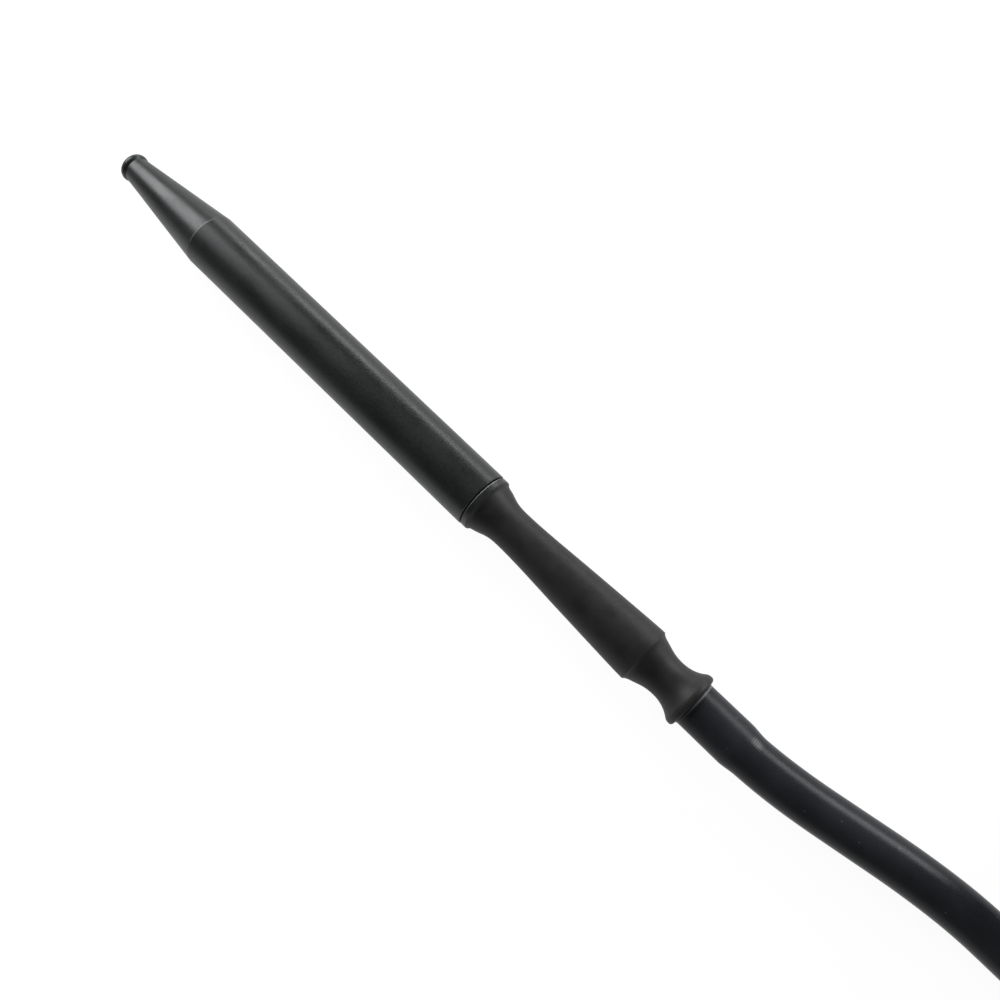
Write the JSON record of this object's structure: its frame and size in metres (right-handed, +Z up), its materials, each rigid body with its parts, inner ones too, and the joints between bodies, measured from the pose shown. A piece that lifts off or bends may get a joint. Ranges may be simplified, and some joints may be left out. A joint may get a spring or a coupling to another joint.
{
  "type": "water pipe hose handle",
  "caption": "Slim screw-apart cooling handle with a beaded mouth end and turned grip, on a soft silicone hose that ends in a barbed port connector.",
  "frame": {"origin": "on the floor under the middle of the handle, without its hose", "axes": "+X along the handle from its mouth end to its hose, +Z up, +Y the side the hose bends to"},
  "size_m": [0.7258, 0.1382, 0.0553],
  "materials": {
    "anodised_metal": "satin black anodised with a fine grain",
    "plain_metal": "plain turned aluminium",
    "soft_grip": "soft-touch matte black",
    "silicone_hose": "satin blue-black silicone",
    "grommet_silicone": "matte silicone",
    "tie_strap": "black woven hook-and-loop strap",
    "seal_rubber": "black nitrile",
    "cooling_gel": "translucent water-based gel"
  },
  "bodies": {
    "grip": {"stem": "anodised_metal", "grip_sleeve": "soft_grip", "hose_barb": "plain_metal", "barb_washer": "seal_rubber"},
    "seal_ring": {"joint_seal": "seal_rubber"},
    "barrel": {"nose_cone": "anodised_metal", "nose_seal": "seal_rubber", "barrel_tube": "anodised_metal", "inner_pipe": "plain_metal", "pipe_seal_front": "seal_rubber", "pipe_seal_rear": "seal_rubber", "gel_charge": "cooling_gel", "rear_plug": "plain_metal", "plug_seal": "seal_rubber"},
    "hose": {"hose_cuff_front": "silicone_hose", "hose_lead": "silicone_hose", "hose_hank": "silicone_hose", "hose_tie": "tie_strap", "hose_tail": "silicone_hose", "hose_cuff_rear": "silicone_hose"},
    "connector": {"hose_connector": "anodised_metal", "port_grommet": "grommet_silicone"}
  },
  "joints": [
    {"name": "barrel_turn", "type": "hinge", "parent": "grip", "child": "seal_ring", "pos_m": [0.0456, 0, 0.0125], "axis": [-1, 0, 0], "range_deg": [0, 1800]},
    {"name": "barrel_feed", "type": "slide", "parent": "seal_ring", "child": "barrel", "axis": [-1, 0, 0], "range_m": [0, 0.01]},
    {"name": "hose_pull", "type": "slide", "parent": "grip", "child": "hose", "axis": [1, 0, 0], "range_m": [0, 0.026]},
    {"name": "connector_pull", "type": "slide", "parent": "hose", "child": "connector", "axis": [1, 0, 0], "range_m": [0, 0.0185]}
  ],
  "couplings": [
    {"joint": "barrel_turn", "follows": "barrel_feed", "rad_per_m": 3141.6}
  ]
}
